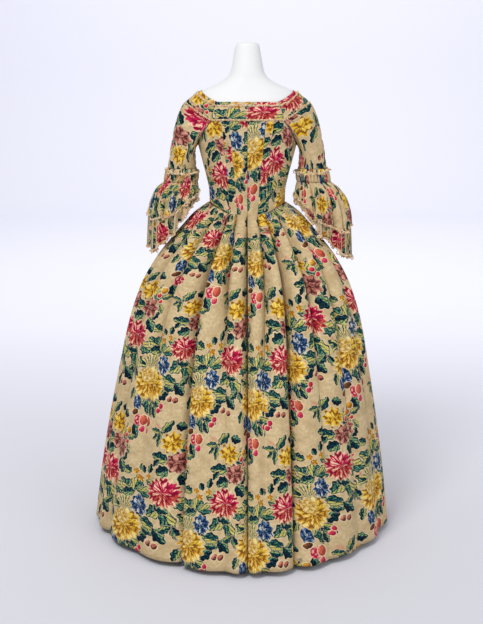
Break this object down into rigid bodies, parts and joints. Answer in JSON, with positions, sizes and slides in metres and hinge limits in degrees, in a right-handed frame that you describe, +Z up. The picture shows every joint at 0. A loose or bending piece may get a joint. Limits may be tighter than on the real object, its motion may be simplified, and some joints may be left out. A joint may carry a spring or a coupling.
{
  "type": "robe a l anglaise on a dress form",
  "caption": "Close-bodied gown with a pleated floor-length skirt and flounced elbow sleeves, on a limbless dress form with a round foot.",
  "frame": {"origin": "centre of the stand's foot, on the floor", "axes": "+Z up along the stand's pole, -Y toward the gown's front, +X toward the wearer's left"},
  "size_m": [0.9244, 0.9259, 1.481],
  "materials": {
    "silk": "woven silk with a floral pattern",
    "fringe_silk": "looped silk fringe",
    "form_cover": "smooth, matt white",
    "stand_paint": "satin white paint"
  },
  "bodies": {
    "root": {"back_left": "silk", "back_right": "silk", "front_left": "silk", "front_right": "silk", "skirt_side_left": "silk", "skirt_side_right": "silk", "skirt_front_left": "silk", "skirt_front_right": "silk", "robing_left": "silk", "robing_right": "silk", "sleeve_left": "silk", "sleeve_right": "silk", "heading_left": "silk", "heading_right": "silk", "flounce_upper_left": "silk", "flounce_upper_right": "silk", "flounce_lower_left": "silk", "flounce_lower_right": "silk", "fringe_upper_left": "fringe_silk", "fringe_upper_right": "fringe_silk", "fringe_lower_left": "fringe_silk", "fringe_lower_right": "fringe_silk", "neck_band": "silk", "form_body": "form_cover", "stand_pole": "stand_paint", "stand_base": "stand_paint"}
  },
  "joints": []
}
